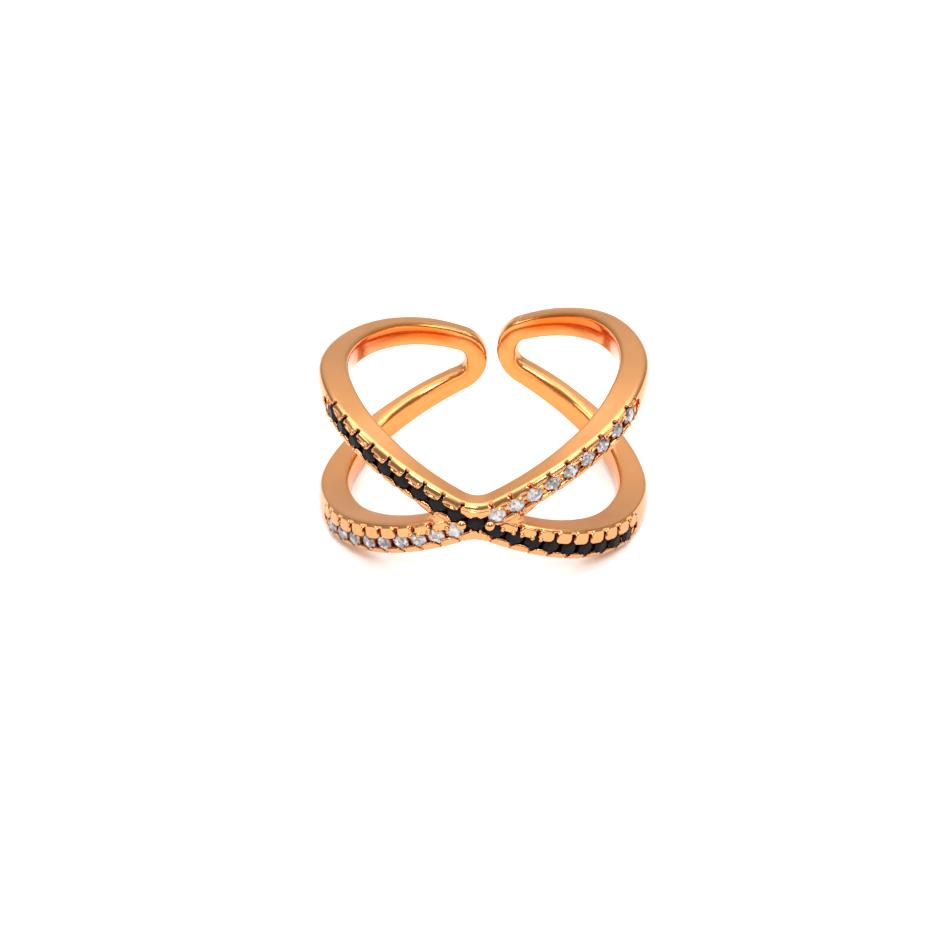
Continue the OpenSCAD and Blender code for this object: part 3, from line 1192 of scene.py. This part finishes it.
@dataclass(frozen=True)
class Finish:
    """What all finishes share: a name and the scales of their fine life."""

    name: str = "finish"
    grain: float = 4000.0
    cloud: float = 250.0

    def make(self, life: NodeTree) -> Material:
        """Builds the material.

        Args:
            life: The shared node group of fine surface life.

        Returns:
            The material.
        """
        material = bpy.data.materials.new(self.name)
        material.use_nodes = True
        sheet = Sheet(material.node_tree)
        fine = sheet.add("ShaderNodeGroup", node_tree=life, Grain=self.grain, Cloud=self.cloud)
        sheet.fill(material.node_tree.nodes["Principled BSDF"], **self.inputs(sheet, fine.outputs))
        return material

    def inputs(self, sheet: Sheet, fine: object) -> dict:
        """Inputs of the main shader, from the material's nodes and the outputs of its fine life."""
        raise NotImplementedError


@dataclass(frozen=True)
class RoseGold(Finish):
    """Rose gold plate: satin on the flanks, polished on the faces, with painted light in its colour: a painted orange
    inter-reflection in the cuts of the clear rows, near black painted shade in the cuts of the black rows, and a
    painted reflection strip on the inner wall.
    """

    name: str = "rose_gold"
    grain: float = 9000.0
    cloud: float = 350.0
    # The metal's tones by zone: the faces' are darker than the flanks' as painted shade against the bright floor they
    # reflect, and the inner wall's are redder as a painted inter-reflection
    satin_tones: tuple = ((0.66, 0.30, 0.115), (0.76, 0.365, 0.15))
    painted_shade_face_tones: tuple = ((0.57, 0.26, 0.1), (0.67, 0.325, 0.14))
    painted_reflection_inside_tones: tuple = ((0.67, 0.26, 0.07), (0.72, 0.30, 0.09))
    # Deep orange of the painted reflection strip on the inner wall
    glow: tuple = (0.66, 0.145, 0.02)
    # Painted light in the cuts and troughs: bright orange for inter-reflection along the clear rows, near black
    # painted shade along the black rows
    cut: tuple = (0.9, 0.31, 0.075)
    black_cut_painted_shade: tuple = (0.02, 0.009, 0.007)
    satin: float = 0.34
    polish: float = 0.14
    inside_shine: float = 0.02
    polish_spread: float = 0.12
    grain_bump: float = 0.35
    grain_depth: float = 0.000004

    def inputs(self, sheet: Sheet, fine: object) -> dict:
        """Colours and polishes the metal by the mesh's zones.

        Args:
            sheet: The material's nodes.
            fine: Outputs of the fine life.

        Returns:
            The main shader's inputs.
        """
        zones = {zone: sheet.add("ShaderNodeAttribute", attribute_name=zone.value).outputs["Fac"] for zone in Zone}
        tones = (self.satin_tones, self.painted_shade_face_tones, self.painted_reflection_inside_tones)
        satin, face, inside = (sheet.blend(fine["Tone"], *pair) for pair in tones)
        # The inner wall's strip takes the painted reflection colour
        inside = sheet.blend(zones[Zone.GLOW], inside, self.glow)
        # Cuts and troughs: painted orange inter-reflection, or near black painted shade by the black row
        painted_hollow_light = sheet.blend(zones[Zone.DARK_ROW], self.cut, self.black_cut_painted_shade)
        metal = sheet.blend(zones[Zone.FLANK], sheet.blend(zones[Zone.INSIDE], face, inside), satin)
        polished = sheet.remap(zones[Zone.INSIDE], (self.polish, self.polish - self.inside_shine))
        base = sheet.math("ADD", sheet.math("MULTIPLY", zones[Zone.FLANK], self.satin - self.polish), polished)
        spread = sheet.math("MULTIPLY", sheet.math("SUBTRACT", fine["Polish"], 0.5), self.polish_spread)
        bump = sheet.add("ShaderNodeBump", Strength=self.grain_bump, Distance=self.grain_depth, Height=fine["Relief"])
        return {
            "Base Color": sheet.blend(zones[Zone.CAVITY], metal, painted_hollow_light),
            "Roughness": sheet.math("ADD", base, spread),
            "Metallic": 1.0,
            "Normal": bump.outputs["Normal"],
        }


@dataclass(frozen=True)
class BlackStone(Finish):
    """Opaque black stone with polished facets."""

    name: str = "black_stone"
    grain: float = 5000.0
    cloud: float = 900.0
    dark: tuple = (0.006, 0.005, 0.006)
    light: tuple = (0.02, 0.018, 0.02)
    rough: tuple = (0.1, 0.25)
    ior: float = 1.5
    specular: float = 0.05

    def inputs(self, sheet: Sheet, fine: object) -> dict:
        """Inputs of the main shader."""
        tone, rough = sheet.blend(fine["Tone"], self.dark, self.light), sheet.remap(fine["Polish"], self.rough)
        return {"Base Color": tone, "Roughness": rough, "IOR": self.ior, "Specular IOR Level": self.specular}


@dataclass(frozen=True)
class ClearStone(Finish):
    """Clear stone with polished facets, painted white sparks and a painted mauve grey shade between them."""

    name: str = "clear_stone"
    grain: float = 3000.0
    cloud: float = 700.0
    # Painted shade and painted sparks of the facets
    shade: tuple = (0.11, 0.065, 0.06)
    painted_spark: tuple = (1.0, 0.94, 0.95)
    cells: float = 5200.0
    painted_sparks_from_m: tuple = (0.0015, 0.008)
    painted_spark_power: tuple = (0.5, 2.6)
    rough: tuple = (0.0, 0.06)
    ior: float = 2.0
    transmission: float = 0.45

    def inputs(self, sheet: Sheet, fine: object) -> dict:
        """Paints sparkle into the stone's colour in small cells, which are darker away from the crossing.

        Args:
            sheet: The material's nodes.
            fine: Outputs of the fine life.

        Returns:
            The main shader's inputs.
        """
        where = sheet.add("ShaderNodeTexCoord").outputs["Object"]
        cells = sheet.add("ShaderNodeTexVoronoi", Vector=where, Scale=self.cells).outputs["Color"]
        level = sheet.add("ShaderNodeSeparateColor", Color=cells).outputs[0]
        aside = sheet.math("ABSOLUTE", sheet.add("ShaderNodeSeparateXYZ", Vector=where).outputs["X"])
        # Painted sparkle: white sparks among mauve grey shade in the base colour, fewer away from the crossing
        painted_sparkle = sheet.math("POWER", level, sheet.remap(aside, self.painted_spark_power, self.painted_sparks_from_m))
        return {
            "Base Color": sheet.blend(painted_sparkle, self.shade, self.painted_spark),
            "Roughness": sheet.remap(fine["Polish"], self.rough),
            "IOR": self.ior,
            "Transmission Weight": self.transmission,
        }


@dataclass(frozen=True)
class PaleFloor(Finish):
    """Plain pale floor."""

    name: str = "pale_floor"
    grain: float = 1200.0
    cloud: float = 20.0
    low: tuple = (0.96, 0.953, 0.947)
    high: tuple = (0.99, 0.986, 0.982)
    rough: float = 0.85

    def inputs(self, sheet: Sheet, fine: object) -> dict:
        """Inputs of the main shader."""
        return {"Base Color": sheet.blend(fine["Tone"], self.low, self.high), "Roughness": self.rough}


@dataclass
class Stones:
    """The two rows of cut stones, as the frame has them."""

    nodes: dict

    def dress(self, black: Material, clear: Material) -> None:
        """Gives every stone its material.

        Args:
            black: Material of the black row.
            clear: Material of the clear row.
        """
        for name, stone in sorted(self.nodes.items()):
            if name.startswith(("black_stone", "clear_stone")):
                material = black if name.startswith("black") else clear
                stone.data.materials.clear()
                stone.data.materials.append(material)
                log.info("%s dressed", name)


@dataclass(frozen=True)
class SoftBox:
    """A soft box that faces the ring's middle, in metres and watts."""

    name: str
    place: tuple
    size: tuple
    power: float

    def hang(self) -> None:
        """Adds the lamp to the scene."""
        data = bpy.data.lights.new(self.name, "AREA")
        data.shape = "RECTANGLE"
        data.size, data.size_y = self.size
        data.energy = self.power
        lamp = bpy.data.objects.new(self.name, data)
        lamp.location = self.place
        lamp.rotation_euler = (-Vector(self.place)).to_track_quat("-Z", "Y").to_euler()
        bpy.context.scene.collection.objects.link(lamp)


@dataclass
class Studio:
    """Pale floor, soft lights and the camera."""

    floor_half: float = 1.2
    distance: float = 0.6
    elevation: float = 35.35
    azimuth: float = 2.95
    focal_px: float = 9450.0
    frame_px: float = 930.0
    sensor_mm: float = 36.0
    clip: tuple = (0.01, 10.0)
    aim_right_mm: float = -1.181
    aim_up_mm: float = -2.089
    sky: tuple = (0.4, 0.98)
    sky_range: tuple = (0.3, 0.97)
    sky_shares: tuple = (("Z", 0.9), ("Y", 0.55))
    boxes: tuple = (
        SoftBox("top_box", (0.0, -0.01, 0.5), (1.05, 0.36), 3.5),
        SoftBox("front_box", (0.05, -0.36, 0.42), (0.13, 0.13), 1.3),
        SoftBox("left_box", (-0.42, -0.2, 0.26), (0.16, 0.16), 0.4),
        SoftBox("right_box", (0.45, -0.1, 0.25), (0.14, 0.14), 0.3),
    )

    def build_floor(self, material: Material) -> None:
        """Lays the floor under the ring's lowest point.

        Args:
            material: The floor's material.
        """
        half = self.floor_half
        mesh = bpy.data.meshes.new("floor")
        corners = [(x * half, y * half, CAD_BOX[0].z) for x, y in ((-1, -1), (1, -1), (1, 1), (-1, 1))]
        mesh.from_pydata(corners, [], [(0, 1, 2, 3)])
        floor = bpy.data.objects.new("floor", mesh)
        bpy.context.scene.collection.objects.link(floor)
        mesh.materials.append(material)

    def light(self) -> None:
        """Sets a sky that is brightest overhead and behind the ring, and hangs the soft boxes."""
        world = bpy.data.worlds.new("soft_room")
        world.use_nodes = True
        sheet = Sheet(world.node_tree)
        where = sheet.add("ShaderNodeTexCoord").outputs["Generated"]
        direction = sheet.add("ShaderNodeSeparateXYZ", Vector=where).outputs
        parts = [sheet.math("MULTIPLY", direction[axis], share) for axis, share in self.sky_shares]
        strength = sheet.remap(sheet.math("ADD", *parts), self.sky, self.sky_range)
        sheet.fill(world.node_tree.nodes["Background"], Color=(1, 1, 1), Strength=strength)
        bpy.context.scene.world = world
        for box in self.boxes:
            box.hang()

    def frame_view(self) -> None:
        """Places the camera at the photograph's angle."""
        el, az = math.radians(self.elevation), math.radians(self.azimuth)
        back = Vector((math.cos(el) * math.sin(az), -math.cos(el) * math.cos(az), math.sin(el)))
        right = Vector((math.cos(az), math.sin(az), 0.0))
        up = back.cross(right)
        aim = (right * self.aim_right_mm + up * self.aim_up_mm) * MM
        data = bpy.data.cameras.new("camera")
        data.sensor_width = self.sensor_mm
        data.lens = self.focal_px / self.frame_px * self.sensor_mm
        data.clip_start, data.clip_end = self.clip
        camera = bpy.data.objects.new("camera", data)
        basis = Matrix((right, up, back)).transposed().to_4x4()
        camera.matrix_world = Matrix.Translation(aim + back * self.distance) @ basis
        bpy.context.scene.collection.objects.link(camera)
        bpy.context.scene.camera = camera

    def develop(self) -> None:
        """Sets how the picture's light turns into colour."""
        view = bpy.context.scene.view_settings
        view.view_transform = "Standard"
        view.look = "None"


def main() -> None:
    """Builds the ring's looks in order and logs the band and each stone."""
    logging.basicConfig(level=logging.INFO, format="%(message)s")
    life = SurfaceLife().make()
    band = Band()
    band.dress(band.build(), RoseGold().make(life))
    Stones(frame["nodes"]).dress(BlackStone().make(life), ClearStone().make(life))
    studio = Studio()
    studio.build_floor(PaleFloor().make(life))
    studio.light()
    studio.frame_view()
    studio.develop()
    bpy.context.view_layer.update()
    log.info("sizes written")


if __name__ == "__main__":
    main()
